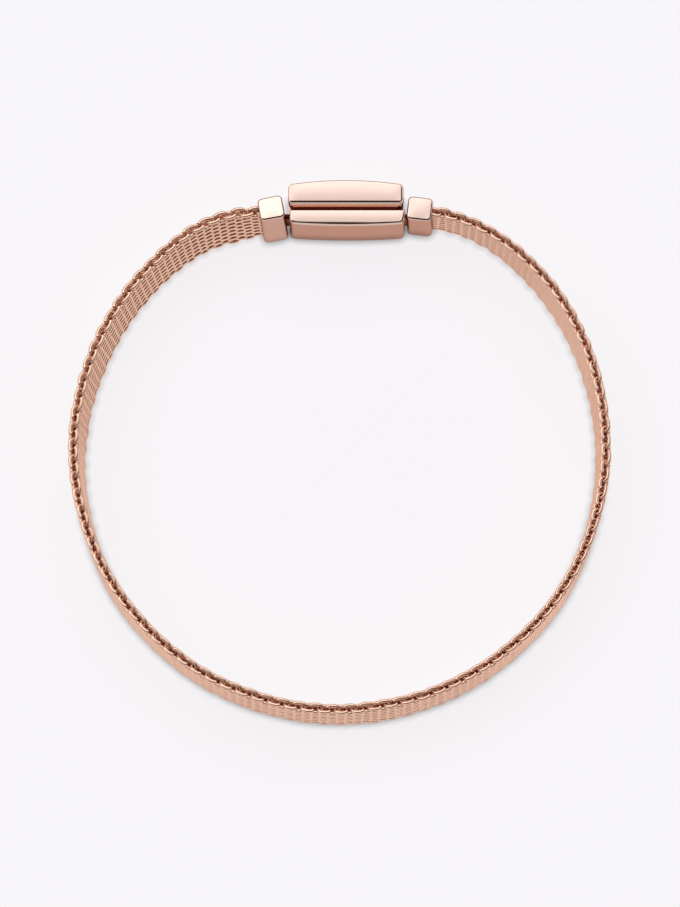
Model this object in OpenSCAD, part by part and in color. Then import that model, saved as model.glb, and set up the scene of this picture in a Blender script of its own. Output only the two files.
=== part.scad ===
/* [Band] */
// Ring centre to the middle of the mesh, where the ring is roundest
ring_radius = 28.8; // [25:0.1:34]
// Width of the woven band, edge to edge
band_width = 7.5; // [6.5:0.1:9]
// Thickness of the woven band over its wires
band_thick = 1.15; // [0.9:0.05:1.4]
// Rounding of the band's two edges, where the coils turn back
band_edge = 0.45; // [0.2:0.05:0.45]

/* [Clasp] */
// Length of the clasp along the band
clasp_length = 12.6; // [10:0.1:16]
// How far the base sits along from under the lid, towards the right cap
base_over = 0.14; // [0:0.02:0.2]
// How far the clasp and caps stand out past each edge of the mesh
cap_lip = 0.45; // [0.3:0.05:0.8]
// Height of the lid at its middle, above the parting plane
lid_height = 3.31; // [3.2:0.01:3.8]
// Depth of the base at its middle, below the parting plane
base_depth = 1.79; // [1.7:0.01:2.4]
// Rise of the lid's outer face from its ends to its middle
lid_crown = 0.4; // [0.1:0.05:0.5]
// Rise of the base's wrist face from its ends to its middle
base_crown = 0.2; // [0:0.05:0.3]
// Gap between the closed lid and the base
parting_gap = 0.38; // [0.3:0.01:0.55]
// Thickness of the metal at the two ends of the clasp
wall = 0.75; // [0.6:0.05:1]
// Thickness of the lid's two long side walls
side_wall = 1.5; // [1.2:0.05:1.5]
// Radius of the polished outer edges
edge_round = 0.45; // [0.2:0.05:0.5]
// Radius of the clasp's corners, seen from the side
corner_round = 0.6; // [0.5:0.05:0.8]
// Radius of the lid's lower edges
lid_round = 0.6; // [0.5:0.05:0.6]
// Radius of the base's edges at the parting plane
rim_round = 0.18; // [0.05:0.01:0.25]
// Height of the guide rims that stand inside the lid
rim_height = 0.85; // [0.6:0.05:1]
// Thickness of the guide rims
rim_thick = 0.35; // [0.25:0.05:0.5]
// Depth of the guide rims below the clasp's two sides
rim_inset = 1.65; // [1.6:0.05:2]

/* [Hinge] */
// Diameter of the hinge pin
pin_d = 0.5; // [0.4:0.05:0.6]
// Height of the pin above the parting plane
pin_height = 1.88; // [1.8:0.02:2]
// Distance from the clasp's left end to the pin
pin_inset = 0.9; // [0.85:0.01:1.2]
// Metal round the pin in the hinge block
knuckle_wall = 0.25; // [0.2:0.01:0.35]
// Radial running clearance of the lid on the pin
pin_play = 0.03; // [0.02:0.005:0.06]
// Depth of the blind pin hole in the lid's upper wall
pin_grip = 0.35; // [0.2:0.05:0.45]
// Clearance between the moving lid and the fixed metal inside it
lid_play = 0.1; // [0.08:0.01:0.15]

/* [End caps] */
// Length of an end cap along the band
cap_length = 2.75; // [2.4:0.05:4]
// Thickness of an end cap
cap_thick = 2.6; // [2.1:0.05:3]
// Drop of the cap's outer face towards the mesh
cap_crown = 0.04; // [0:0.01:0.25]
// Radius of a cap's corners, seen from the side
cap_corner = 0.5; // [0.3:0.05:0.8]
// Radius of a cap's polished edges
cap_round = 0.25; // [0.15:0.05:0.3]
// Middle of the left cap's clasp end above the parting plane
left_rise = 0.02; // [0:0.01:0.3]
// Middle of the right cap's clasp end above the parting plane
right_rise = 0.25; // [0:0.01:0.3]
// Gap between the left cap and the base at mid-width
left_gap = 0.48; // [0.42:0.01:0.6]
// Gap between the right cap and the base at mid-width
right_gap = 0.3; // [0.25:0.01:0.5]
// How far the mesh reaches into a cap
mesh_grip = 1.6; // [1:0.1:1.8]
// Clearance of the mesh in the cap's slot
slot_play = 0.06; // [0.03:0.01:0.1]
// Turn of the left cap down from the clasp's line, in degrees
left_turn = 10; // [5:0.5:16]
// Turn of the right cap down from the clasp's line, in degrees
right_turn = 6.5; // [4:0.5:14]
// Outward lean of the left cap's upper edge, in degrees
left_lean = 6; // [0:0.2:7]
// Sideways tilt that opens the left gap at its upper edge, in degrees
left_tilt = 1.5; // [0:0.1:1.8]
// Sideways tilt that opens the right gap at its lower edge, in degrees
right_tilt = 1; // [0:0.1:1.5]
// Width of the tongue that joins a cap to the clasp
tongue_width = 4.2; // [4:0.1:4.2]
// Thickness of the tongue
tongue_thick = 0.6; // [0.5:0.05:0.7]
// Diameter of the bead rolled on the tongue's end
bead_d = 1.2; // [1.1:0.05:1.4]
// How far the bead stands out past the tongue's side edges
bead_over = 0.05; // [0.02:0.01:0.1]
// Middle of the tongue below the parting plane
tongue_drop = 0.32; // [0.3:0.01:0.4]
// Clearance round the tongue and its bead in the base
tongue_play = 0.08; // [0.05:0.01:0.12]

/* [Hidden] */
$fn = 48;
ROSE_GOLD = [0.85, 0.62, 0.52];
MESH_GOLD = [0.78, 0.56, 0.47];

// How the free mesh lies between the two caps. A row for each section, from the right cap round to
// the left one: the share of the way round, the ring's radius there as a share of ring_radius, and
// the outward lean of the band's upper edge in degrees.
WAY = 0;
REACH = 1;
LEAN = 2;
RING_TABLE = [
    [0.030, 0.9990, -0.3],
    [0.080, 1.0085, 2.8],
    [0.150, 1.0045, 3.4],
    [0.230, 1.0025, 2.7],
    [0.320, 1.0030, 0.0],
    [0.410, 1.0005, -1.2],
    [0.500, 1.0018, -1.5],
    [0.590, 0.9985, -0.5],
    [0.680, 0.9940, 0.6],
    [0.775, 0.9880, 4.8],
    [0.870, 0.9775, 7.0],
    [0.920, 0.9780, 7.9],
    [0.965, 0.9720, 9.8],
    [0.983, 0.9540, 10.4]
];
// Place of the clasp's parting plane and middle, as shares of ring_radius
CLASP_REACH = 0.9033;
CLASP_SHIFT = 0.03;
// Longest drawn piece of the sweep as a share of ring_radius, and facets in each rounded corner of
// its section
SWEEP_SHARE = 0.07;
CORNER_STEPS = 3;
// Stations along a crowned face, facets of a rounding ball, and a cut that reaches right through
CROWN_STATIONS = 7;
BALL_FACETS = 32;
THROUGH = 1;

clasp_width = band_width + 2 * cap_lip;
mid_width = clasp_width / 2;
half_clasp = clasp_length / 2;
half_cap = cap_thick / 2;
parting_y = ring_radius * CLASP_REACH;
clasp_x = ring_radius * CLASP_SHIFT;

// Hinge and tongue places in the clasp's own frame: x along it, y outward from the parting plane
pin_x = pin_inset - half_clasp;
knuckle_r = pin_d / 2 + knuckle_wall;
roof_y = pin_height + knuckle_r + lid_play;
block_low = side_wall + lid_play;
block_high = clasp_width - side_wall - lid_play;
bead_r = bead_d / 2;
bead_inset = wall + bead_r + tongue_play;
tongue_low = mid_width - tongue_width / 2;
tongue_top = tongue_thick / 2 - tongue_drop;

function crown_at(share, rise) = rise * (1 - share * share);
function turn_about(v, a) = [v[0] * cos(a) - v[1] * sin(a), v[0] * sin(a) + v[1] * cos(a)];

// Where the base ends, the middle of a cap's clasp end, and the direction in which the mesh leaves it
function base_end(side) = base_over + side * half_clasp;
function root_in_clasp(side) =
    [base_end(side) + side * (side < 0 ? left_gap : right_gap), side < 0 ? left_rise : right_rise];
function cap_root(side) = [clasp_x, parting_y] + root_in_clasp(side);
function bead_x(side) = base_end(side) - side * bead_inset;
function cap_way(side, turn) = turn_about([side, 0], -side * turn);
right_way = cap_way(1, right_turn);
left_way = cap_way(-1, left_turn);
right_mouth = cap_root(1) + cap_length * right_way;
left_mouth = cap_root(-1) + cap_length * left_way;

// A leaning, tilted cap stands on its lowest corner, so its middle sits a little higher. The rise is
// given at a distance along the cap from its clasp end.
function cap_rise(lean, tilt, along) =
    max(cap_corner * sin(tilt), (cap_length - cap_corner) * sin(tilt))
    + ((half_cap - cap_corner) * sin(lean) + (mid_width - cap_round) * cos(lean)) * cos(tilt)
    + (cap_corner - cap_round) * norm([sin(tilt), sin(lean) * cos(tilt)])
    + cap_round - mid_width - along * sin(tilt);

// Clock angles of the mouths, seen from the ring's centre, clockwise from the clasp
right_clock = atan2(right_mouth[0], right_mouth[1]);
left_clock = 360 + atan2(left_mouth[0], left_mouth[1]);

function ring_point(row) =
    let (clock = right_clock + row[WAY] * (left_clock - right_clock),
         radius = row[REACH] * ring_radius)
    [radius * sin(clock), radius * cos(clock), row[LEAN], 0];

// The route of the middle of the mesh: x, y, lean and rise at each knot
route = concat(
    [[right_mouth[0], right_mouth[1], 0, cap_rise(0, -right_tilt, cap_length)]],
    [for (row = RING_TABLE) ring_point(row)],
    [[left_mouth[0], left_mouth[1], left_lean, cap_rise(left_lean, left_tilt, cap_length)]]
);
last = len(route) - 1;
function span(i) = norm([route[i + 1][0] - route[i][0], route[i + 1][1] - route[i][1]]);
function slope(i) =
    i == 0 ? [right_way[0], right_way[1], 0, 0] :
    i == last ? [-left_way[0], -left_way[1], 0, 0] :
    let (before = span(i - 1), after = span(i))
    ((route[i] - route[i - 1]) * after / before + (route[i + 1] - route[i]) * before / after)
    / (before + after);

// Smooth curve through the knots, at share t of the stretch after knot i, and its direction there
function route_at(i, t) =
    let (h = span(i))
    route[i] * (1 + 2 * t) * pow(1 - t, 2) + slope(i) * h * t * pow(1 - t, 2)
    + route[i + 1] * (3 - 2 * t) * t * t - slope(i + 1) * h * t * t * (1 - t);
function route_way(i, t) =
    let (h = span(i),
         w = (route[i + 1] - route[i]) * 6 * t * (1 - t) / h
             + slope(i) * (1 - t) * (1 - 3 * t) + slope(i + 1) * t * (3 * t - 2))
    [w[0], w[1]] / norm([w[0], w[1]]);

// Stations of the sweep: a point with its lean and rise, and the direction of travel. The first and
// the last lie inside the caps' slots.
slot_end = cap_length - mesh_grip;
slot_floor = slot_end - slot_play - mid_width * sin(max(left_tilt, right_tilt));
right_end = cap_root(1) + slot_end * right_way;
left_end = cap_root(-1) + slot_end * left_way;
stations = concat(
    [[[right_end[0], right_end[1], 0, cap_rise(0, -right_tilt, slot_end)], right_way]],
    [for (i = [0 : last - 1])
        let (pieces = ceil(span(i) / (SWEEP_SHARE * ring_radius)))
        for (k = [0 : pieces - 1]) [route_at(i, k / pieces), route_way(i, k / pieces)]],
    [[route[last], -left_way],
     [[left_end[0], left_end[1], left_lean, cap_rise(left_lean, left_tilt, slot_end)], -left_way]]
);

// The mesh is centred in the caps, and settles on to the table on the side away from the clasp
function band_mid(y) = mid_width - cap_lip * (parting_y - y) / (parting_y + ring_radius);

// Outline of the band's section: thickness across, width up, with its edges rounded
section = [
    for (corner = [[1, 1], [-1, 1], [-1, -1], [1, -1]])
    let (start = corner == [1, 1] ? 0 : corner == [-1, 1] ? 90 : corner == [-1, -1] ? 180 : 270)
    for (k = [0 : CORNER_STEPS])
    let (a = start + 90 * k / CORNER_STEPS)
    [corner[0] * (band_thick / 2 - band_edge) + band_edge * cos(a),
     corner[1] * (band_width / 2 - band_edge) + band_edge * sin(a)]
];

// A section's points, with its width leaning outward as its station says
function placed_section(station) =
    let (p = station[0], way = station[1], out = [-way[1], way[0]], lean = p[2])
    [for (s = section)
        let (across = s[0] * cos(lean) + s[1] * sin(lean), up = s[1] * cos(lean) - s[0] * sin(lean))
        [p[0] + out[0] * across, p[1] + out[1] * across, band_mid(p[1]) + p[3] + up]];

band_points = [for (s = stations) each placed_section(s)];
ring_size = len(section);
station_count = len(stations);
band_faces = concat(
    [[for (k = [0 : ring_size - 1]) k]],
    [for (j = [0 : station_count - 2]) for (k = [0 : ring_size - 1])
        let (n = (k + 1) % ring_size)
        [j * ring_size + k, (j + 1) * ring_size + k, (j + 1) * ring_size + n, j * ring_size + n]],
    [[for (k = [ring_size - 1 : -1 : 0]) (station_count - 1) * ring_size + k]]
);

// The part's origin lies below the middle of its outline
band_x = [for (p = band_points) p[0]];
band_y = [for (p = band_points) p[1]];
origin = [(max(band_x) + min(band_x)) / 2, (parting_y + lid_height + min(band_y)) / 2, 0];

// A round disc with a rounded edge, or a ball where its radius is no larger than the rounding
module disc(radius, rounding) {
    step = 360 / BALL_FACETS;
    flat = max(0, radius - rounding);
    rotate_extrude($fn = BALL_FACETS)
        polygon(concat(flat > 0 ? [[0, rounding]] : [],
                       [for (k = [0 : BALL_FACETS / 2])
                           [flat + rounding * sin(k * step), rounding * cos(k * step)]],
                       flat > 0 ? [[0, -rounding]] : []));
}

// A block with all its edges rounded. Its side outline is a list of corners, each a place along x, a
// height y, the radius of the corner and the rounding of its edges.
module rounded_block(corners, width) {
    hull()
        for (c = corners)
            for (z = [c[3], width - c[3]])
                translate([c[0], c[1], z])
                    disc(c[2], c[3]);
}

// Corners along a face that rises by the given amount from its ends to its middle. Its ends lie at
// height y, and side is 1 for an upper face and -1 for a lower one.
function crowned_face(length, y, rise, side, radius, rounding) = [
    for (k = [0 : CROWN_STATIONS - 1])
        let (share = 2 * k / (CROWN_STATIONS - 1) - 1)
        [share * (length / 2 - radius), y + side * (crown_at(share, rise) - radius), radius, rounding]
];
function flat_face(length, y, side, radius, rounding) =
    [for (end = [-1, 1]) [end * (length / 2 - radius), y - side * radius, radius, rounding]];

// Puts what is drawn in the clasp's frame in its place
module at_clasp() {
    translate([clasp_x, parting_y, 0] - origin)
        children();
}

// Puts what is drawn in a cap's frame in its place: x runs from the clasp to the mesh
module at_cap(side, turn, lean, tilt) {
    root = root_in_clasp(side);
    translate([root[0], root[1], mid_width + cap_rise(lean, tilt, 0)])
        rotate([0, 0, -side * turn])
            rotate([-lean, side * tilt, 0])
                mirror([side < 0 ? 1 : 0, 0, 0])
                    translate([0, 0, -mid_width])
                        children();
}

module mesh_band() {
    color(MESH_GOLD)
        translate(-origin)
            polyhedron(band_points, band_faces, convexity = 6);
}

// The cap's own block, with the slot that holds the mesh
module cap_block() {
    low = cap_corner;
    far = cap_length - cap_corner;
    high = half_cap - cap_corner;
    difference() {
        rounded_block([for (place = [[low, -high], [far, -high], [low, high], [cap_length / 2, high],
                                     [far, high - cap_crown]])
                          [place[0], place[1], cap_corner, cap_round]],
                      clasp_width);
        translate([slot_floor, -band_thick / 2 - slot_play, cap_lip - slot_play])
            cube([cap_length, band_thick + 2 * slot_play, band_width + 2 * slot_play]);
    }
}

// The tongue lies along the clasp, with rounded edges, and ends in a rolled bead
module tongue(side) {
    radius = tongue_thick / 2;
    root = root_in_clasp(side)[0] + side * cap_corner;
    translate([0, -tongue_drop, tongue_low]) {
        translate([bead_x(side), 0, 0])
            cylinder(h = tongue_width, r = bead_r);
        translate([0, 0, bead_over])
            rounded_block([for (x = [bead_x(side), root]) [x, 0, radius, radius]],
                          tongue_width - 2 * bead_over);
    }
}

module end_cap(side, turn, lean, tilt) {
    at_clasp() {
        at_cap(side, turn, lean, tilt)
            cap_block();
        tongue(side);
    }
}

module end_cap_left() {
    color(ROSE_GOLD)
        end_cap(-1, left_turn, left_lean, left_tilt);
}

module end_cap_right() {
    color(ROSE_GOLD)
        end_cap(1, right_turn, 0, -right_tilt);
}

// Room in the base for a tongue and its bead, each up to the given height
module tongue_room(side, bead_top, slot_top) {
    reach = bead_r + tongue_play;
    bead_low = -tongue_drop - reach;
    slot_low = -tongue_drop - tongue_thick / 2 - tongue_play;
    translate([bead_x(side) - reach, bead_low, tongue_low - tongue_play])
        cube([2 * reach, bead_top - bead_low, tongue_width + 2 * tongue_play]);
    translate([side > 0 ? bead_x(side) : base_end(side) - THROUGH, slot_low, tongue_low - tongue_play])
        cube([bead_inset + THROUGH, slot_top - slot_low, tongue_width + 2 * tongue_play]);
}

// The tray under the parting plane: well rounded at the wrist, nearly sharp at the lid
module base_tray() {
    translate([base_over, 0, 0])
        rounded_block(concat(flat_face(clasp_length, 0, 1, rim_round, rim_round),
                             crowned_face(clasp_length, base_crown - base_depth, base_crown, -1,
                                          corner_round, edge_round)),
                      clasp_width);
}

// The block that carries the pin, with a round top for the lid to turn over
module hinge_block() {
    translate([pin_x, pin_height, block_low])
        cylinder(h = block_high - block_low, r = knuckle_r);
    translate([pin_x - knuckle_r, -base_depth / 2, block_low])
        cube([2 * knuckle_r, pin_height + base_depth / 2, block_high - block_low]);
}

module guide_rims() {
    length = half_clasp - wall - lid_play - pin_x;
    for (z = [rim_inset, clasp_width - rim_inset - rim_thick])
        translate([pin_x, -rim_thick, z])
            cube([length, rim_height + rim_thick, rim_thick]);
}

module clasp_base() {
    color(ROSE_GOLD)
        at_clasp()
            difference() {
                union() {
                    base_tray();
                    hinge_block();
                    guide_rims();
                }
                tongue_room(-1, bead_r - tongue_drop + tongue_play, tongue_top + tongue_play);
                tongue_room(1, THROUGH, THROUGH);
                translate([pin_x, pin_height, 0])
                    cylinder(h = clasp_width, r = pin_d / 2);
            }
}

module clasp_lid() {
    end_height = lid_height - lid_crown;
    color(ROSE_GOLD)
        at_clasp()
            difference() {
                rounded_block(concat(flat_face(clasp_length, parting_gap, -1, corner_round, lid_round),
                                     crowned_face(clasp_length, end_height, lid_crown, 1,
                                                  corner_round, edge_round)),
                              clasp_width);
                translate([-half_clasp - THROUGH, -THROUGH, side_wall])
                    cube([clasp_length - wall + THROUGH, roof_y + THROUGH, clasp_width - 2 * side_wall]);
                translate([pin_x, pin_height, -THROUGH])
                    cylinder(h = clasp_width - side_wall + pin_grip + THROUGH, r = pin_d / 2 + pin_play);
            }
}

module hinge_pin() {
    end_play = 2 * pin_play;
    color(ROSE_GOLD)
        at_clasp()
            translate([pin_x, pin_height, end_play])
                cylinder(h = clasp_width - side_wall + pin_grip - 2 * end_play, r = pin_d / 2);
}

mesh_band();
end_cap_left();
end_cap_right();
clasp_base();
clasp_lid();
hinge_pin();
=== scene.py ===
# %% [markdown]
# # A woven mesh bracelet
# This lesson dresses a bracelet whose clasp, caps and band were already built as exact solids.
# The solids are loaded first and stay where they are, because the moving parts and the sizes come
# from them. Everything drawn here is laid over them, in metres and in the same axes.

# %% The solids that everything hangs on
import math

import bmesh
import bpy
import numpy as np
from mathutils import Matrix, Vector
from mathutils.bvhtree import BVHTree


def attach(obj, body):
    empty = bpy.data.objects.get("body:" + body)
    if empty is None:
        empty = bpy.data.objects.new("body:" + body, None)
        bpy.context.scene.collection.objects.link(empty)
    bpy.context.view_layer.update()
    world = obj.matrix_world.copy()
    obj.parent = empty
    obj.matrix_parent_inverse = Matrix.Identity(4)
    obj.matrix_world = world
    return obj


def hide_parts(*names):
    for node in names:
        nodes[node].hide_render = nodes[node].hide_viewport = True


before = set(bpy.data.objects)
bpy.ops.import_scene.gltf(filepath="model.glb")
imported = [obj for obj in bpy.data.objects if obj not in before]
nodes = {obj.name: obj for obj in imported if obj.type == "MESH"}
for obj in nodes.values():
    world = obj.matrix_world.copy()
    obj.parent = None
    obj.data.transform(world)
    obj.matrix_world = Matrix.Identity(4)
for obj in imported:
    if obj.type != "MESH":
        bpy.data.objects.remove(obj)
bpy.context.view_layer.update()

MM = 0.001

# %% [markdown]
# ## Table, light and camera
# The bracelet lies on its edge on a pale table and is seen from almost straight above, ten degrees
# towards its front. A long lens far away keeps the ring round, as the picture shows it. Lamps could
# light it, but polished metal shows the whole room around it in its own tint, and a lamp would only
# add a spot. So there is no lamp, and the room itself is drawn: a bright sheet overhead and behind,
# dark in front of the sheet and in a belt below it, and pale again near the table. That draws thin
# dark lines where a polished face begins to turn away.

# %% The camera, ten degrees off the vertical
scene = bpy.context.scene
TILT = math.radians(10)
DISTANCE = 0.85
LOOK_AT = Vector((0.06, -0.807, 8.0)) * MM
PHOTO_WIDTH_PX = 680
PX_PER_MM = 9.23
SENSOR_MM = 36

view_way = Vector((0, math.sin(TILT), -math.cos(TILT)))
camera_data = bpy.data.cameras.new("camera")
camera_data.sensor_fit = "HORIZONTAL"
camera_data.sensor_width = SENSOR_MM
camera_data.lens = SENSOR_MM * PX_PER_MM * DISTANCE / MM / PHOTO_WIDTH_PX
camera_data.clip_start = 0.01
camera = bpy.data.objects.new("camera", camera_data)
camera.location = LOOK_AT - DISTANCE * view_way
camera.rotation_euler = (TILT, 0, 0)
scene.collection.objects.link(camera)
scene.camera = camera
scene.view_settings.view_transform = "Standard"
print("lens %.1f mm, camera at %s" % (camera_data.lens, tuple(round(v, 4) for v in camera.location)))

# %% How far up and how far back a direction points, and a number that eases with either
SHEET_TURN = math.radians(22)
SHEET_WAY = Vector((-math.sin(SHEET_TURN), math.cos(SHEET_TURN), 0))

world = bpy.data.worlds.new("studio")
scene.world = world
world.use_nodes = True
room = world.node_tree
room.nodes.clear()
look = room.nodes.new("ShaderNodeTexCoord")
upward = room.nodes.new("ShaderNodeSeparateXYZ")
backward = room.nodes.new("ShaderNodeVectorMath")
backward.operation = "DOT_PRODUCT"
backward.inputs[1].default_value = SHEET_WAY
room.links.new(look.outputs["Generated"], upward.inputs["Vector"])
room.links.new(look.outputs["Generated"], backward.inputs[0])
height, depth = upward.outputs["Z"], backward.outputs["Value"]


def eased(value, low, high, first, last):
    """A number that eases from first to last while the value goes from low to high."""
    made = room.nodes.new("ShaderNodeMapRange")
    made.interpolation_type = "SMOOTHSTEP"
    for key, given in (("Value", value), ("From Min", low), ("From Max", high),
                       ("To Min", first), ("To Max", last)):
        if isinstance(given, bpy.types.NodeSocket):
            room.links.new(given, made.inputs[key])
        else:
            made.inputs[key].default_value = given
    return made.outputs["Result"]


print("the sheet hangs towards", tuple(round(v, 2) for v in SHEET_WAY))

# %% The room: a sheet that brightens backwards, dark before and below it, pale at the table's height
DARK, HORIZON = 0.04, 0.85
OVERHEAD, FAR_BACK = 0.90, 1.83
TINT_OF_THE_DARK = (1.0, 0.72, 0.60, 1)

sheet = eased(depth, -0.03, 0.45, OVERHEAD, FAR_BACK)
low_back = eased(height, 0.18, 0.30, HORIZON, DARK)
back_side = eased(height, 0.54, 0.64, low_back, sheet)
front_side = eased(height, 0.22, 0.42, HORIZON, DARK)
brightness = eased(depth, -0.02, 0.03, front_side, back_side)
tint = room.nodes.new("ShaderNodeMix")
tint.data_type = "RGBA"
tint.inputs["A"].default_value = TINT_OF_THE_DARK
tint.inputs["B"].default_value = (1, 1, 1, 1)
glow = room.nodes.new("ShaderNodeBackground")
room_out = room.nodes.new("ShaderNodeOutputWorld")
room.links.new(eased(brightness, DARK, 0.5, 0.0, 1.0), tint.inputs["Factor"])
room.links.new(tint.outputs["Result"], glow.inputs["Color"])
room.links.new(brightness, glow.inputs["Strength"])
room.links.new(glow.outputs["Background"], room_out.inputs["Surface"])
print("the room is drawn with", len(room.nodes), "nodes")

# %% The pale table, with a faint grain and a soft shade where the bracelet touches it
HALF_TABLE = 3.0
PAPER_BASE, PAPER_GLOW = (0.15, 0.148, 0.151, 1), 0.855
PAPER_TONES = (0.985, 0.968, 0.993, 1), (0.995, 0.978, 1.000, 1)
CONTACT_REACH = 0.8 * MM

floor_mesh = bpy.data.meshes.new("table")
table_corners = [(HALF_TABLE * x, HALF_TABLE * y, 0) for x, y in ((-1, -1), (1, -1), (1, 1), (-1, 1))]
floor_mesh.from_pydata(table_corners, [], [(0, 1, 2, 3)])
floor = bpy.data.objects.new("table", floor_mesh)
scene.collection.objects.link(floor)
paper = bpy.data.materials.new("pale_table")
paper.use_nodes = True
paper_tree = paper.node_tree
paper_shader = paper_tree.nodes["Principled BSDF"]
paper_shader.inputs["Roughness"].default_value = 0.9
paper_shader.inputs["Specular IOR Level"].default_value = 0.0
paper_shader.inputs["Base Color"].default_value = PAPER_BASE
paper_shader.inputs["Emission Strength"].default_value = PAPER_GLOW
paper_place = paper_tree.nodes.new("ShaderNodeTexCoord")
paper_grain = paper_tree.nodes.new("ShaderNodeTexNoise")
paper_grain.inputs["Scale"].default_value = 30
paper_tone = paper_tree.nodes.new("ShaderNodeMix")
paper_tone.data_type = "RGBA"
paper_tone.inputs["A"].default_value = PAPER_TONES[0]
paper_tone.inputs["B"].default_value = PAPER_TONES[1]
contact = paper_tree.nodes.new("ShaderNodeAmbientOcclusion")
contact.inputs["Distance"].default_value = CONTACT_REACH
paper_tree.links.new(paper_place.outputs["Object"], paper_grain.inputs["Vector"])
paper_tree.links.new(paper_grain.outputs["Fac"], paper_tone.inputs["Factor"])
paper_tree.links.new(paper_tone.outputs["Result"], contact.inputs["Color"])
paper_tree.links.new(contact.outputs["Color"], paper_shader.inputs["Emission Color"])
floor_mesh.materials.append(paper)
print("the table is", 2 * HALF_TABLE, "m wide")

# %% [markdown]
# ## Two finishes of one metal
# The whole bracelet has a rose gold colour. The clasp and caps are polished like a mirror, with a
# few hair-fine scratches. The woven wire has the same colour but a drawn, slightly duller skin. A
# picture of worn metal could be wrapped round each piece, but noise in a piece's own space needs no
# picture and never stretches. Both finishes need the same faint cloudiness and scratches, so these
# are one node group that each material sets in its own way. The shader itself stays in the material.

# %% A node group for the faint marks of handling
def handling_marks():
    """A group that gives a slow cloud and fine scratches, both from 0 to 1."""
    group = bpy.data.node_groups.new("handling_marks", "ShaderNodeTree")
    for name, value in (("Cloud Scale", 900.0), ("Scratch Scale", 2500.0), ("Stretch", 14.0)):
        made = group.interface.new_socket(name, in_out="INPUT", socket_type="NodeSocketFloat")
        made.default_value = value
    group.interface.new_socket("Cloud", in_out="OUTPUT", socket_type="NodeSocketFloat")
    group.interface.new_socket("Scratches", in_out="OUTPUT", socket_type="NodeSocketFloat")
    given, result = group.nodes.new("NodeGroupInput"), group.nodes.new("NodeGroupOutput")
    place = group.nodes.new("ShaderNodeTexCoord")
    cloud = group.nodes.new("ShaderNodeTexNoise")
    cloud.inputs["Detail"].default_value = 2
    stretch = group.nodes.new("ShaderNodeCombineXYZ")
    stretch.inputs["X"].default_value = 1
    stretch.inputs["Y"].default_value = 1
    along = group.nodes.new("ShaderNodeVectorMath")
    along.operation = "MULTIPLY"
    scratch = group.nodes.new("ShaderNodeTexNoise")
    scratch.inputs["Detail"].default_value = 3
    keep = group.nodes.new("ShaderNodeMapRange")
    keep.inputs["From Min"].default_value = 0.55
    keep.inputs["From Max"].default_value = 0.75
    link = group.links.new
    link(place.outputs["Object"], cloud.inputs["Vector"])
    link(given.outputs["Cloud Scale"], cloud.inputs["Scale"])
    link(given.outputs["Stretch"], stretch.inputs["Z"])
    link(place.outputs["Object"], along.inputs[0])
    link(stretch.outputs["Vector"], along.inputs[1])
    link(along.outputs["Vector"], scratch.inputs["Vector"])
    link(given.outputs["Scratch Scale"], scratch.inputs["Scale"])
    link(scratch.outputs["Fac"], keep.inputs["Value"])
    link(cloud.outputs["Fac"], result.inputs["Cloud"])
    link(keep.outputs["Result"], result.inputs["Scratches"])
    return group


MARKS = handling_marks()
print("the group of marks has", len(MARKS.nodes), "nodes")


# %% One recipe for both finishes
def rose_gold(name, pale, deep, edge_on, smooth, dull, relief, cloud_scale, scratch_scale, stretch):
    """A rose gold metal between two tones, whose roughness and relief follow the marks."""
    material = bpy.data.materials.new(name)
    material.use_nodes = True
    tree = material.node_tree
    shader = tree.nodes["Principled BSDF"]
    shader.inputs["Metallic"].default_value = 1.0
    shader.inputs["Specular Tint"].default_value = (*edge_on, 1)
    marks = tree.nodes.new("ShaderNodeGroup")
    marks.node_tree = MARKS
    marks.inputs["Cloud Scale"].default_value = cloud_scale
    marks.inputs["Scratch Scale"].default_value = scratch_scale
    marks.inputs["Stretch"].default_value = stretch
    tone = tree.nodes.new("ShaderNodeMix")
    tone.data_type = "RGBA"
    tone.inputs["A"].default_value = (*pale, 1)
    tone.inputs["B"].default_value = (*deep, 1)
    rough = tree.nodes.new("ShaderNodeMapRange")
    rough.inputs["To Min"].default_value = smooth
    rough.inputs["To Max"].default_value = dull
    bump = tree.nodes.new("ShaderNodeBump")
    bump.inputs["Strength"].default_value = 0.4
    bump.inputs["Distance"].default_value = relief
    link = tree.links.new
    link(marks.outputs["Cloud"], tone.inputs["Factor"])
    link(tone.outputs["Result"], shader.inputs["Base Color"])
    link(marks.outputs["Scratches"], rough.inputs["Value"])
    link(rough.outputs["Result"], shader.inputs["Roughness"])
    link(marks.outputs["Scratches"], bump.inputs["Height"])
    link(bump.outputs["Normal"], shader.inputs["Normal"])
    return material


polished = rose_gold("polished_rose_gold", pale=(0.76, 0.575, 0.50), deep=(0.74, 0.555, 0.48),
                     edge_on=(0.67, 0.43, 0.35), smooth=0.04, dull=0.09, relief=0.001 * MM,
                     cloud_scale=350.0, scratch_scale=1500.0, stretch=0.06)
wire_skin = rose_gold("drawn_rose_gold_wire", pale=(1.0, 0.68, 0.53), deep=(0.95, 0.62, 0.465),
                      edge_on=(0.66, 0.45, 0.355), smooth=0.36, dull=0.46, relief=0.006 * MM,
                      cloud_scale=900.0, scratch_scale=5000.0, stretch=0.3)
print("finishes:", polished.name, "and", wire_skin.name)

# %% [markdown]
# ## Painted shade and bounced light where metal faces metal
# Light that bounces from one gold surface to the next turns redder each time, so the hollows between
# touching wires and the narrow gaps of the clasp look deep red. Many bounces of light could show
# that, but they are slow and noisy. Here each metal measures how open its surroundings are, and a
# dark deep red is painted into its colour where they are nearly closed: painted shade and painted
# bounced light. The tongues in the gaps beside the clasp get a painted shade as well, by a mark
# that their points carry.

# %% Two ways to paint shade into a metal's colour
ENCLOSED, OPEN = 0.10, 0.46


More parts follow.
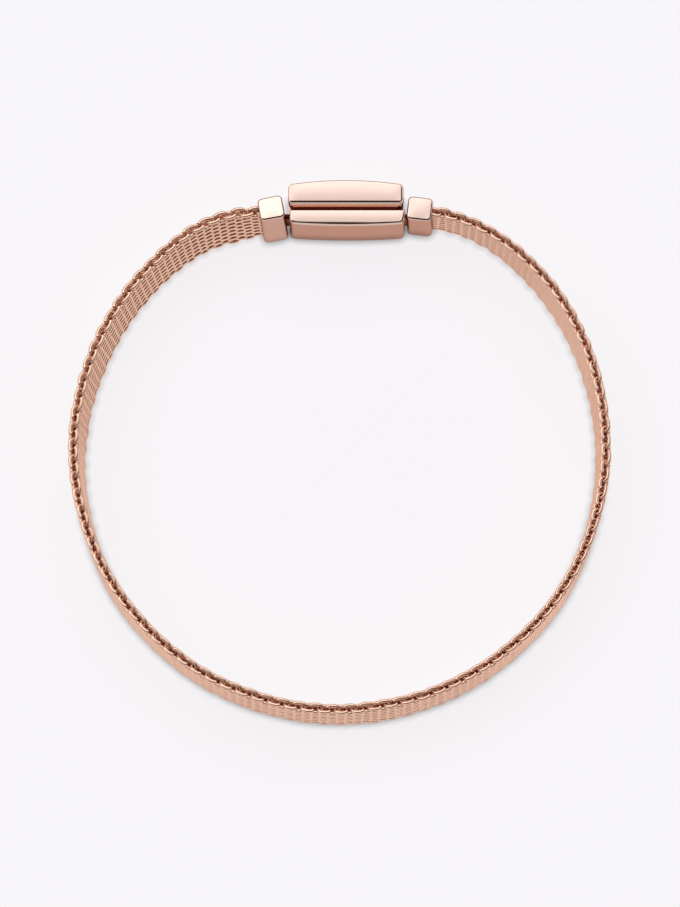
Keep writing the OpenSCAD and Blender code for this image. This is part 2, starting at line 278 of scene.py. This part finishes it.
def paint_red_shade(material, reach, inside):
    """Paints shade and bounced light into a metal: a dark deep red where it looks mostly at itself, within
    a reach around each point.
    """
    tree = material.node_tree
    shader = tree.nodes["Principled BSDF"]
    surface_tone = shader.inputs["Base Color"].links[0].from_socket
    openness = tree.nodes.new("ShaderNodeAmbientOcclusion")
    openness.inputs["Distance"].default_value = reach
    fade = tree.nodes.new("ShaderNodeMapRange")
    fade.interpolation_type = "SMOOTHSTEP"
    fade.inputs["From Min"].default_value = ENCLOSED
    fade.inputs["From Max"].default_value = OPEN
    mixed = tree.nodes.new("ShaderNodeMix")
    mixed.data_type = "RGBA"
    mixed.inputs["A"].default_value = (*inside, 1)
    tree.links.new(openness.outputs["AO"], fade.inputs["Value"])
    tree.links.new(fade.outputs["Result"], mixed.inputs["Factor"])
    tree.links.new(surface_tone, mixed.inputs["B"])
    tree.links.new(mixed.outputs["Result"], shader.inputs["Base Color"])


def paint_shade_where(material, mark, deep):
    """Paints shade into a metal: a deep colour where the points of a piece carry a mark of 1."""
    tree = material.node_tree
    shader = tree.nodes["Principled BSDF"]
    surface_tone = shader.inputs["Base Color"].links[0].from_socket
    marked = tree.nodes.new("ShaderNodeAttribute")
    marked.attribute_name = mark
    mixed = tree.nodes.new("ShaderNodeMix")
    mixed.data_type = "RGBA"
    mixed.inputs["B"].default_value = (*deep, 1)
    tree.links.new(marked.outputs["Fac"], mixed.inputs["Factor"])
    tree.links.new(surface_tone, mixed.inputs["A"])
    tree.links.new(mixed.outputs["Result"], shader.inputs["Base Color"])


# Painted shade and bounced light: both metals turn a dark deep red where they are nearly enclosed.
paint_red_shade(wire_skin, reach=0.6 * MM, inside=(0.42, 0.07, 0.025))
paint_red_shade(polished, reach=1.2 * MM, inside=(0.30, 0.05, 0.02))
# Painted shade on the tongues in the gaps beside the clasp, by the mark their points carry.
paint_shade_where(polished, "in_the_gap", deep=(0.07, 0.010, 0.004))
for metal in (wire_skin, polished):
    print(metal.name, "has", len(metal.node_tree.nodes), "nodes")

# %% [markdown]
# ## The middle line of the mesh
# The woven band leans a little here and there and isn't a true circle. Its solid already has that
# shape, so it is measured instead of being guessed again: rays go out from the ring's middle at two
# heights, and each one meets the inner and the outer face of the band. Halfway between them lies
# the middle of the mesh, and the two heights together give its lean.

# %% Rays from the middle of the ring measure the band
def tree_of(node):
    """A search tree over a solid's triangles."""
    mesh = nodes[node].data
    return BVHTree.FromPolygons([v.co for v in mesh.vertices], [p.vertices for p in mesh.polygons])


band_tree = tree_of("mesh_band")
LOW, HIGH = 2.2 * MM, 5.8 * MM
SKIN = 0.01 * MM
RAYS_A_DEGREE = 4


def middle_of_band(clock, height):
    """The point halfway through the band in one direction, or None where there is no band."""
    way = Vector((math.sin(clock), math.cos(clock), 0))
    first = band_tree.ray_cast(Vector((0, 0, height)), way)[0]
    if first is None:
        return None
    second = band_tree.ray_cast(first + SKIN * way, way)[0]
    return None if second is None else (first + second) / 2


middle_line = []
for k in range(360 * RAYS_A_DEGREE + 1):
    clock = math.radians(k / RAYS_A_DEGREE)
    low, high = middle_of_band(clock, LOW), middle_of_band(clock, HIGH)
    if low is not None and high is not None:
        middle_line.append((low, high))
middles = np.array([(low + high) / 2 for low, high in middle_line])
leaning = np.array([high - low for low, high in middle_line])
steps = np.linalg.norm(np.diff(middles[:, :2], axis=0), axis=1)
travelled = np.concatenate([[0], np.cumsum(steps)])
print("the middle line has %d points and is %.1f mm long" % (len(middles), travelled[-1] / MM))

# %% The height of the band's middle, from its lowest and highest points near each place
band_points = np.array([v.co for v in nodes["mesh_band"].data.vertices])
ways = np.gradient(middles[:, :2], axis=0)
ways /= np.linalg.norm(ways, axis=1)[:, None]
outs = np.stack([-ways[:, 1], ways[:, 0]], 1)
lean = np.arctan2((leaning[:, :2] * outs).sum(1), leaning[:, 2])
SMOOTH_OVER = 9
NEARBY = 1.9 * MM
window = np.ones(SMOOTH_OVER) / SMOOTH_OVER
lean = np.convolve(np.pad(lean, SMOOTH_OVER // 2, "edge"), window, "valid")
mid_heights = []
for place in middles:
    near = band_points[np.linalg.norm(band_points[:, :2] - place[:2], axis=1) < NEARBY]
    mid_heights.append((near[:, 2].max() + near[:, 2].min()) / 2)
mid_heights = np.convolve(np.pad(mid_heights, SMOOTH_OVER // 2, "edge"), window, "valid")
raised = mid_heights - (LOW + HIGH) / 2
centres = np.column_stack([middles[:, :2] + outs * (raised * np.tan(lean))[:, None], mid_heights])
print("lean from %.1f to %.1f degrees, middle height from %.2f to %.2f mm" % (
    math.degrees(lean.min()), math.degrees(lean.max()), centres[:, 2].min() / MM, centres[:, 2].max() / MM))

# %% [markdown]
# ## The weave
# This mesh is made of flat wire coils that stand across the band. Each coil is screwed into the
# next, so each bend of one hooks round a bend of the other. All the coils wind the same way, and
# every second one is turned round by half a turn, which puts its highest wire on the other face.
# That gives the row of little interlocked loops along the edge and the brick pattern on the faces.
# The woven band is then rolled flat, which cuts its faces level and spreads the wires a little.
# One coil is drawn once from its sizes, and Geometry Nodes stand copies of it along the middle
# line. Copying by hand would never follow the leaning path, and a bump texture would look flat at
# the edge, where the loops show most.

# %% Sizes of the weave
# A full turn of the wire drops by TURN_DROP, and COIL_LENGTH runs along the band, past the pitch.
WIRE = 0.45 * MM
COIL_PITCH = 0.91 * MM
COIL_LENGTH = 1.36 * MM
COIL_COUNT = 180
STRETCHES = 4
BAND_THICK = 1.15 * MM
BAND_WIDTH = 7.5 * MM
HALF_TURNS = 12
TURN_DROP = 1.007 * MM
END_TURN = math.radians(155)
# A turn is more boxed than a circle the further BOXED is below 1. LEVEL_ON_FACES moves its drop from
# the faces to the coil's two ends. ROLLED is cut off each face, where the wire spreads by SPREAD.
BOXED = 0.78
LEVEL_ON_FACES = 0.40
ROLLED = 0.04 * MM
SPREAD = 0.55
PRESSED_OVER = 0.06 * MM
WOBBLE = 0.01
LOOSE = 0.01 * MM
SEED = 7
print("%d coils of %.2f mm wire, %.2f mm apart" % (COIL_COUNT, WIRE / MM, COIL_PITCH / MM))


# %% A small set of helpers to write a node tree as sums
class Tree:
    """Builds a Geometry Nodes tree, with short names for what is used often."""

    def __init__(self, name):
        self.group = bpy.data.node_groups.new(name, "GeometryNodeTree")
        self.inputs = {}
        self.given = self.group.nodes.new("NodeGroupInput")

    def socket(self, name, kind, value=None):
        """A named input of the whole tree."""
        made = self.group.interface.new_socket(name, in_out="INPUT", socket_type="NodeSocket" + kind)
        if value is not None:
            made.default_value = value
        self.inputs[name] = made.identifier
        return self.given.outputs[name]

    def node(self, kind, given=None, **settings):
        """A node with its settings, whose inputs are given as values or as other nodes' outputs."""
        made = self.group.nodes.new(kind)
        for key, value in settings.items():
            setattr(made, key, value)
        for key, value in (given or {}).items():
            self.put(value, made.inputs[key])
        return made

    def put(self, value, socket):
        """Links an output to an input, or writes a plain value there."""
        if isinstance(value, bpy.types.NodeSocket):
            self.group.links.new(value, socket)
        else:
            socket.default_value = value

    def sum(self, operation, *values):
        """One sum on numbers."""
        made = self.node("ShaderNodeMath", dict(enumerate(values)), operation=operation)
        return made.outputs[0]

    def between(self, value, low, high):
        """A number kept between two others."""
        return self.sum("MAXIMUM", self.sum("MINIMUM", value, high), low)

    def vector(self, x, y, z):
        """A vector from three numbers."""
        return self.node("ShaderNodeCombineXYZ", {"X": x, "Y": y, "Z": z}).outputs[0]

    def vector_sum(self, operation, *values):
        """One sum on vectors."""
        made = self.node("ShaderNodeVectorMath", dict(enumerate(values)), operation=operation)
        return made.outputs[0]

    def scaled(self, vector, by):
        """A vector made longer or shorter."""
        return self.node("ShaderNodeVectorMath", {0: vector, "Scale": by}, operation="SCALE").outputs[0]

    def named(self, name):
        """A number that the points carry under a name."""
        return self.node("GeometryNodeInputNamedAttribute", {"Name": name}, data_type="FLOAT").outputs[0]


print("helpers:", ", ".join(name for name in vars(Tree) if not name.startswith("_")))


# %% The centre line of one coil, drawn from its sizes
def coil_line(tree, wire, length, thick, rolled, edge, drop, halves, end_turn, steps):
    """The line of a flat right-handed coil that stands along Z, whose points carry their height."""
    sum_ = tree.sum
    end_turns = sum_("MULTIPLY", end_turn, 2.0)
    whole = sum_("ADD", sum_("MULTIPLY", sum_("ADD", halves, 1.0), math.pi), end_turns)
    count = sum_("ROUND", sum_("MULTIPLY", whole, sum_("DIVIDE", steps, 2 * math.pi)))
    line = tree.node("GeometryNodeMeshLine", {"Count": sum_("ADD", count, 1.0)}, mode="OFFSET")
    share = sum_("DIVIDE", tree.node("GeometryNodeInputIndex").outputs[0], count)
    turn = sum_("SUBTRACT", sum_("MULTIPLY", share, whole), end_turn)
    past_face = sum_("SUBTRACT", turn, math.pi / 2)

    def flattened(wave, half):
        grown = sum_("POWER", sum_("ABSOLUTE", wave), BOXED)
        return sum_("MULTIPLY", sum_("MULTIPLY", sum_("SIGN", wave), grown), half)

    half_length = sum_("MULTIPLY", length, 0.5)
    half_thick = sum_("ADD", sum_("MULTIPLY", sum_("SUBTRACT", thick, wire), 0.5), rolled)
    x = flattened(sum_("COSINE", turn), half_length)
    y = flattened(sum_("SINE", turn), half_thick)
    swing = sum_("MULTIPLY", sum_("SINE", sum_("MULTIPLY", past_face, 2.0)), LEVEL_ON_FACES)
    fall = sum_("MULTIPLY", sum_("SUBTRACT", past_face, swing), sum_("DIVIDE", drop, 2 * math.pi))
    top = sum_("MULTIPLY", sum_("MULTIPLY", drop, halves), 0.25)
    z = sum_("SMOOTH_MIN", sum_("SUBTRACT", fall, top), edge, PRESSED_OVER)
    z = sum_("SMOOTH_MAX", z, sum_("MULTIPLY", edge, -1.0), PRESSED_OVER)
    placed = tree.node("GeometryNodeSetPosition",
                       {"Geometry": line.outputs[0], "Position": tree.vector(x, y, z)})
    marked = tree.node("GeometryNodeStoreNamedAttribute",
                       {"Geometry": placed.outputs[0], "Name": "wire_height", "Value": z},
                       data_type="FLOAT", domain="POINT")
    return tree.node("GeometryNodeMeshToCurve", {"Mesh": marked.outputs[0]}).outputs[0]


# %% Wire swept along the line and rolled flat
def rolled_wire(tree, line, wire, thick, spread, edge, sides):
    """Round wire, cut level at the band's two faces and spread sideways there, but not at its edges."""
    sum_ = tree.sum
    ring = tree.node("GeometryNodeCurvePrimitiveCircle",
                     {"Resolution": sides, "Radius": sum_("MULTIPLY", wire, 0.5)})
    tube = tree.node("GeometryNodeCurveToMesh",
                     {"Curve": line, "Profile Curve": ring.outputs[0], "Fill Caps": True})
    at = tree.node("ShaderNodeSeparateXYZ", {0: tree.node("GeometryNodeInputPosition").outputs[0]})
    face = sum_("MULTIPLY", thick, 0.5)
    pressed = tree.between(at.outputs[1], sum_("MULTIPLY", face, -1.0), face)
    middle = tree.named("wire_height")
    past_core = sum_("SUBTRACT", sum_("ABSOLUTE", pressed), sum_("SUBTRACT", face, wire))
    from_edge = sum_("SUBTRACT", sum_("SUBTRACT", edge, wire), sum_("ABSOLUTE", middle))
    outer = tree.between(sum_("DIVIDE", past_core, wire), 0.0, 1.0)
    within = tree.between(sum_("DIVIDE", from_edge, wire), 0.0, 1.0)
    wider = sum_("ADD", 1.0, sum_("MULTIPLY", sum_("MULTIPLY", outer, within), spread))
    z = sum_("ADD", middle, sum_("MULTIPLY", sum_("SUBTRACT", at.outputs[2], middle), wider))
    flat = tree.node("GeometryNodeSetPosition",
                     {"Geometry": tube.outputs[0], "Position": tree.vector(at.outputs[0], pressed, z)})
    return flat.outputs[0]


# %% How each coil stands on the path
def upright_with_lean(tree, forward, lean_here):
    """The rotation that stands a coil across the path and tips it outwards by the path's lean."""
    out = tree.vector_sum("NORMALIZE", tree.vector_sum("CROSS_PRODUCT", (0, 0, 1), forward))
    sideways = tree.scaled(out, tree.sum("SINE", lean_here))
    up = tree.vector_sum("ADD", sideways, tree.vector(0.0, 0.0, tree.sum("COSINE", lean_here)))
    return tree.node("FunctionNodeAxesToRotation", {"Primary Axis": up, "Secondary Axis": forward},
                     primary_axis="Z", secondary_axis="X").outputs[0]


def random_for_each(tree, number, seed, amount):
    """A random vector for each coil, up to an amount either way along each axis."""
    given = {"Min": (-amount,) * 3, "Max": (amount,) * 3, "ID": number, "Seed": seed}
    return tree.node("FunctionNodeRandomValue", given, data_type="FLOAT_VECTOR").outputs[0]


# %% The tree that stands coils along the path
def weave_tree(material):
    """Coils on a path whose points carry their lean, with every second coil turned round."""
    tree = Tree("coils_along_a_path")
    path = tree.socket("Path", "Geometry")
    wire = tree.socket("Wire", "Float", WIRE)
    length = tree.socket("Coil Length", "Float", COIL_LENGTH)
    thick = tree.socket("Thickness", "Float", BAND_THICK)
    rolled = tree.socket("Rolled Away", "Float", ROLLED)
    spread = tree.socket("Spread", "Float", SPREAD)
    width = tree.socket("Width", "Float", BAND_WIDTH)
    pitch = tree.socket("Pitch", "Float", COIL_PITCH)
    drop = tree.socket("Turn Drop", "Float", TURN_DROP)
    halves = tree.socket("Half Turns", "Int", HALF_TURNS)
    end_turn = tree.socket("End Turn", "Float", END_TURN)
    start = tree.socket("Start", "Float", 0.0)
    first = tree.socket("First Coil", "Int", 0)
    count = tree.socket("Coils", "Int", 10)
    steps = tree.socket("Steps A Turn", "Int", 22)
    sides = tree.socket("Wire Sides", "Int", 10)
    loose = tree.socket("Looseness", "Float", LOOSE)
    seed = tree.socket("Seed", "Int", SEED)

    number = tree.sum("ADD", tree.node("GeometryNodeInputIndex").outputs[0], first)
    reach = tree.sum("ADD", start, tree.sum("MULTIPLY", number, pitch))
    curve = tree.node("GeometryNodeMeshToCurve", {"Mesh": path}).outputs[0]
    sampled = tree.node("GeometryNodeSampleCurve",
                        {"Curves": curve, "Value": tree.named("lean"), "Length": reach},
                        mode="LENGTH", data_type="FLOAT")
    lean_here, place, travel = (sampled.outputs[k] for k in ("Value", "Position", "Tangent"))
    stand = upright_with_lean(tree, tree.vector_sum("MULTIPLY", travel, (1, 1, 0)), lean_here)
    half_turn = tree.sum("MULTIPLY", tree.sum("MODULO", number, 2.0), math.pi)
    wobble = random_for_each(tree, number, seed, WOBBLE)
    turned = tree.node("FunctionNodeEulerToRotation",
                       {"Euler": tree.vector_sum("ADD", wobble, tree.vector(0.0, 0.0, half_turn))})
    stand = tree.node("FunctionNodeRotateRotation",
                      {"Rotation": stand, "Rotate By": turned.outputs[0]},
                      rotation_space="LOCAL").outputs[0]
    shift = tree.scaled(random_for_each(tree, number, tree.sum("ADD", seed, 1.0), 1.0), loose)
    place = tree.vector_sum("ADD", place, shift)
    points = tree.node("GeometryNodePoints", {"Count": count, "Position": place}).outputs[0]
    edge = tree.sum("MULTIPLY", tree.sum("SUBTRACT", width, wire), 0.5)
    line = coil_line(tree, wire, length, thick, rolled, edge, drop, halves, end_turn, steps)
    coil = rolled_wire(tree, line, wire, thick, spread, edge, sides)
    standing = tree.node("GeometryNodeInstanceOnPoints",
                         {"Points": points, "Instance": coil, "Rotation": stand})
    real = tree.node("GeometryNodeRealizeInstances", {"Geometry": standing.outputs[0]})
    soft = tree.node("GeometryNodeSetShadeSmooth", {"Geometry": real.outputs[0]})
    coated = tree.node("GeometryNodeSetMaterial", {"Geometry": soft.outputs[0], "Material": material})
    tree.group.interface.new_socket("Coils", in_out="OUTPUT", socket_type="NodeSocketGeometry")
    result = tree.group.nodes.new("NodeGroupOutput")
    tree.group.links.new(coated.outputs[0], result.inputs[0])
    return tree


WEAVE = weave_tree(wire_skin)
print("the weave's tree has %d nodes" % len(WEAVE.group.nodes))

# %% The path as a thin line of points that carry their lean
path_mesh = bpy.data.meshes.new("mesh_path")
path_mesh.from_pydata([tuple(c) for c in centres], [(i, i + 1) for i in range(len(centres) - 1)], [])
lean_layer = path_mesh.attributes.new("lean", "FLOAT", "POINT")
lean_layer.data.foreach_set("value", lean.astype(np.float32))
print("the path has", len(path_mesh.vertices), "points")


def woven_stretch(name, first, count, start):
    """One stretch of the mesh, made by the tree and then kept as a plain mesh."""
    carrier = bpy.data.objects.new(name + "_path", path_mesh.copy())
    scene.collection.objects.link(carrier)
    modifier = carrier.modifiers.new("coils", "NODES")
    modifier.node_group = WEAVE.group
    for key, value in (("First Coil", first), ("Coils", count), ("Start", start)):
        modifier[WEAVE.inputs[key]] = value
    seen = carrier.evaluated_get(bpy.context.evaluated_depsgraph_get())
    mesh = bpy.data.meshes.new_from_object(seen)
    mesh.name = name
    bpy.data.objects.remove(carrier)
    piece = bpy.data.objects.new(name, mesh)
    scene.collection.objects.link(piece)
    return piece


# %% The woven mesh, in stretches that stay light enough to keep whole
first_place = (travelled[-1] - (COIL_COUNT - 1) * COIL_PITCH) / 2
per_stretch = math.ceil(COIL_COUNT / STRETCHES)
for k in range(STRETCHES):
    first = k * per_stretch
    count = min(per_stretch, COIL_COUNT - first)
    piece = woven_stretch("woven_mesh_%d" % (k + 1), first, count, first_place)
    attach(piece, "bracelet")
    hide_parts("mesh_band")
    triangles = sum(len(p.vertices) - 2 for p in piece.data.polygons)
    print(piece.name, "has", triangles, "triangles")

# %% [markdown]
# ## Polished clasp and caps
# The clasp and the caps are small blocks with a mirror finish. Their solids have the right shape,
# but they are made of flat facets, and a mirror shows every facet. They could be drawn again from
# scratch, but the solids already fit each other. So a copy of each is joined up and shaded smoothly,
# with the large faces keeping their own direction, so that only the edges bend the reflections.
#
# The real clasp's edges aren't as evenly rounded as the solids'. A narrow flat bevel runs along the
# front and right edges, and the others are only broken. A bevel tool can't add that to a rounding
# that is already there, so the points of the rounding are moved on to the new outline.

# %% The outline of an edge, ground or only broken
LID_LOWER_ROUND, CLASP_ROUND = 0.60 * MM, 0.45 * MM
LID_LOWER_BEVEL, CLASP_BEVEL, BROKEN = 0.50 * MM, 0.26 * MM, 0.20 * MM
SOFT, CRISP = 0.28 * MM, 0.07 * MM
NINE_TURNS = np.arange(9) * 11.25


def bevelled(radius, width, soft, crisp):
    """How far out and how deep a bevel of 45 degrees runs, at nine turns of the rounding it replaces.

    A soft rounding leads from the face into the bevel, and a crisp one leads from it to the wall.
    """
    tangent = math.tan(math.radians(22.5))
    soft_turns, crisp_turns = np.radians([0, 15, 30, 45]), np.radians([45, 67.5, 90])
    soft_outs = radius - width + soft * (np.sin(soft_turns) - tangent)
    soft_depths = soft * (1 - np.cos(soft_turns))
    crisp_outs = radius - crisp * (1 - np.sin(crisp_turns))
    crisp_depths = width + crisp * (tangent - np.cos(crisp_turns))
    shares = np.array([1 / 3, 1 / 2])
    flat_outs = soft_outs[-1] + (crisp_outs[0] - soft_outs[-1]) * shares
    flat_depths = soft_depths[-1] + (crisp_depths[0] - soft_depths[-1]) * shares
    return np.r_[soft_outs, flat_outs, crisp_outs], np.r_[soft_depths, flat_depths, crisp_depths]


def broken_edge(radius, small):
    """The same nine turns for an edge that is only broken with a small rounding."""
    turns = np.radians(NINE_TURNS)
    return radius - small * (1 - np.sin(turns)), small * (1 - np.cos(turns))


outline = bevelled(CLASP_ROUND, CLASP_BEVEL, SOFT, CRISP)
print("the clasp's bevel is %.2f mm deep" % (outline[1].max() / MM))


# %% The points of a block's rounded edges, moved on to the new outline
PIN_CLEARANCE = 0.5 * MM
SLACK = 1.001


def bevel_edges(edit, pin_place, edge_at):
    """Grinds a bevel on the front and right edges of a block and breaks the others a little.

    At a place y, edge_at gives the rounding that the solid has there and the width of the bevel.
    """
    top = max(v.co.z for v in edit.verts)
    edit.normal_update()
    moves = []
    for vert in edit.verts:
        radius, width = edge_at(vert.co.y)
        depth = min(vert.co.z, top - vert.co.z)
        by_the_pin = (vert.co.xy - pin_place).length < PIN_CLEARANCE
        if not radius or depth > radius * SLACK or by_the_pin:
            continue
        outward = vert.normal.xy.normalized()
        turn = math.degrees(math.acos(max(-1.0, min(1.0, 1 - depth / radius))))
        broken = broken_edge(radius, BROKEN)
        front = bevelled(radius, width, SOFT, CRISP)
        right = bevelled(radius, CLASP_BEVEL, SOFT, CRISP)
        sides = (right if outward.x > 0 else broken, front if outward.y < 0 else broken)
        out, down = [], 0.0
        for part, (outs, depths) in zip(outward, sides):
            further = np.interp(turn, NINE_TURNS, outs) - radius * math.sin(math.radians(turn))
            out.append(further * max(-1.0, min(1.0, 2 * part)))
            down += part ** 2 * (np.interp(turn, NINE_TURNS, depths) - depth)
        down = -down if vert.co.z > top / 2 else down
        moves.append((vert, Vector((*out, down))))
    for vert, move in moves:
        vert.co += move
    print("moved", len(moves), "points on to a bevel")


pin_points = np.array([v.co for v in nodes["hinge_pin"].data.vertices])
PIN_PLACE = Vector((pin_points.max(0) + pin_points.min(0))[:2] / 2)
LOWER_PART = 1.2 * MM
LID_SPLIT = min(v.co.y for v in nodes["clasp_lid"].data.vertices) + LOWER_PART
BASE_SPLIT = min(v.co.y for v in nodes["clasp_base"].data.vertices) + LOWER_PART


def lid_edge(y):
    """The lid's rounding and bevel: larger for its lower edge, by the gap."""
    return (LID_LOWER_ROUND, LID_LOWER_BEVEL) if y < LID_SPLIT else (CLASP_ROUND, CLASP_BEVEL)


def base_edge(y):
    """The base's rounding and bevel: none for its upper edge, which lies hidden in the gap."""
    return (CLASP_ROUND, CLASP_BEVEL) if y < BASE_SPLIT else (0, 0)


EDGES = {"clasp_lid": lid_edge, "clasp_base": base_edge}
print("the pin stands at", tuple(round(v / MM, 2) for v in PIN_PLACE), "mm")

# %% [markdown]
# ## A slight crown
# A truly flat mirror shows one even tone. Polishing leaves the faces that look up a little higher in
# the middle, so their tone changes gently across them. A bump texture could bend the reflections
# alike, but a real crown costs few points and follows each face's own outline. The face is cut into
# cells, and each point rises by how far it is from the face's sides.

# %% The crown of a block's largest upward face
CROWN_SLOPE = math.tan(math.radians(4))
RIM = 0.06 * MM
UPWARD, SAME_WAY = 0.95, 0.9999


def nearness(point, start, end):
    """How far a point lies from a straight edge, seen from above."""
    run = end - start
    share = max(0.0, min(1.0, (point - start).dot(run) / run.length_squared))
    return (point - start - share * run).length


def crown(edit, cell):
    """Raises the largest upward face of a block a little in its middle."""
    def largest():
        return max((f for f in edit.faces if f.normal.z > UPWARD), key=lambda f: f.calc_area())

    level = [f for f in edit.faces if f.normal.dot(largest().normal) > SAME_WAY]
    if len(level) > 1:
        bmesh.ops.dissolve_faces(edit, faces=level)
    top = largest()
    rise_way = top.normal.copy()
    corners = [v.co.xy.copy() for v in top.verts]
    middle = top.calc_center_bounds().xy
    sides = {}
    for k, start in enumerate(corners):
        end = corners[(k + 1) % len(corners)]
        way = (start + end) / 2 - middle
        run = (end - start).normalized()
        square = Vector((run.y, -run.x))
        if square.dot(way) < 0:
            square = -square
        key = round(math.degrees(math.atan2(square.y, square.x)) / 90) % 4
        sides.setdefault(key, []).append((start, end))
    half = min(min(nearness(middle, *edge) for edge in edges) for edges in sides.values())
    bmesh.ops.inset_region(edit, faces=[top], thickness=RIM, use_even_offset=True)
    lows = Vector((min(c.x for c in corners), min(c.y for c in corners)))
    highs = Vector((max(c.x for c in corners), max(c.y for c in corners)))
    for axis, way in ((0, Vector((1, 0, 0))), (1, Vector((0, 1, 0)))):
        for k in range(1, int((highs[axis] - lows[axis]) / cell)):
            faces = [f for f in edit.faces if f.normal.dot(rise_way) > SAME_WAY]
            cut = set(faces) | {e for f in faces for e in f.edges} | {v for f in faces for v in f.verts}
            place = way * (lows[axis] + k * cell)
            bmesh.ops.bisect_plane(edit, geom=list(cut), plane_co=place, plane_no=way, dist=1e-7)
    faces = [f for f in edit.faces if f.normal.dot(rise_way) > SAME_WAY]
    for vert in {v for f in faces for v in f.verts}:
        height = 1.0
        for edges in sides.values():
            near = min(1.0, min(nearness(vert.co.xy, *edge) for edge in edges) / half)
            height *= near * (2 - near)
        vert.co += rise_way * (height * CROWN_SLOPE * half / 2)


print("a crown rises at", round(math.degrees(math.atan(CROWN_SLOPE)), 1), "degrees from a face's side")

# %% [markdown]
# ## Painted shade on the tongues in the gaps
# Between each cap and the clasp a thin tongue crosses a narrow gap, where hardly any light comes. It
# could be a piece of its own with a dark material, but it is one block with its cap. So its points
# carry a mark, and a deep red painted shade is put into the polished metal by that mark.

# %% Where the tongues lie, measured from the clasp
clasp_xs = [v.co.x for v in nodes["clasp_base"].data.vertices]
CLASP_MIDDLE = (max(clasp_xs) + min(clasp_xs)) / 2
PAST_THE_CLASP = 0.9 * MM
TONGUE_REACH = (max(clasp_xs) - min(clasp_xs)) / 2 + PAST_THE_CLASP
TONGUE_LOW, TONGUE_HIGH = 1.5 * MM, 7.0 * MM


def mark_the_tongue(mesh, node):
    """Marks the points of a cap's tongue with 1 for the painted shade, and all other points with 0."""
    marks = []
    for vert in mesh.vertices:
        near = abs(vert.co.x - CLASP_MIDDLE) < TONGUE_REACH
        marks.append(float(node.startswith("end_cap") and near and TONGUE_LOW < vert.co.z < TONGUE_HIGH))
    # This mark is where the polished metal gets its painted shade.
    mesh.attributes.new("in_the_gap", "FLOAT", "POINT").data.foreach_set("value", marks)
    print("marked", int(sum(marks)), "points of", node)


# %% Smooth copies of the polished blocks
JOINED_WITHIN = 0.001 * MM
FLAT_WITHIN = math.radians(0.5)
SHARP_OVER = math.radians(35)
CLASP_CELL, CAP_CELL = 0.3 * MM, 0.2 * MM


def polished_copy(node, name, cell):
    """A joined and smoothly shaded copy of a solid, with the edges and crown that belong to it."""
    mesh = nodes[node].data.copy()
    mesh.name = name
    edit = bmesh.new()
    edit.from_mesh(mesh)
    bmesh.ops.remove_doubles(edit, verts=edit.verts, dist=JOINED_WITHIN)
    bmesh.ops.dissolve_limit(edit, angle_limit=FLAT_WITHIN, verts=edit.verts, edges=edit.edges)
    if node in EDGES:
        bevel_edges(edit, PIN_PLACE, EDGES[node])
    if cell:
        crown(edit, cell)
    for face in edit.faces:
        face.smooth = True
    for edge in edit.edges:
        edge.smooth = len(edge.link_faces) == 2 and edge.calc_face_angle(math.pi) < SHARP_OVER
    edit.to_mesh(mesh)
    edit.free()
    mark_the_tongue(mesh, node)
    mesh.materials.clear()
    mesh.materials.append(polished)
    piece = bpy.data.objects.new(name, mesh)
    scene.collection.objects.link(piece)
    modifier = piece.modifiers.new("face_directions", "WEIGHTED_NORMAL")
    modifier.keep_sharp = True
    modifier.weight = 60
    flat = bpy.data.meshes.new_from_object(piece.evaluated_get(bpy.context.evaluated_depsgraph_get()))
    piece.modifiers.clear()
    piece.data = flat
    return piece


for node, body, cell in (("clasp_base", "bracelet", CLASP_CELL), ("clasp_lid", "lid", CLASP_CELL),
                         ("end_cap_left", "bracelet", CAP_CELL), ("end_cap_right", "bracelet", CAP_CELL),
                         ("hinge_pin", "bracelet", 0)):
    block = polished_copy(node, "polished_" + node, cell)
    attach(block, body)
    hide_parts(node)
    print(block.name, "has", len(block.data.polygons), "faces, up to",
          round(max(v.co.z for v in block.data.vertices) / MM, 3), "mm high")

# %% [markdown]
# ## The size of the drawn pieces
# The drawn pieces have to fill the same box as the solids they stand for.
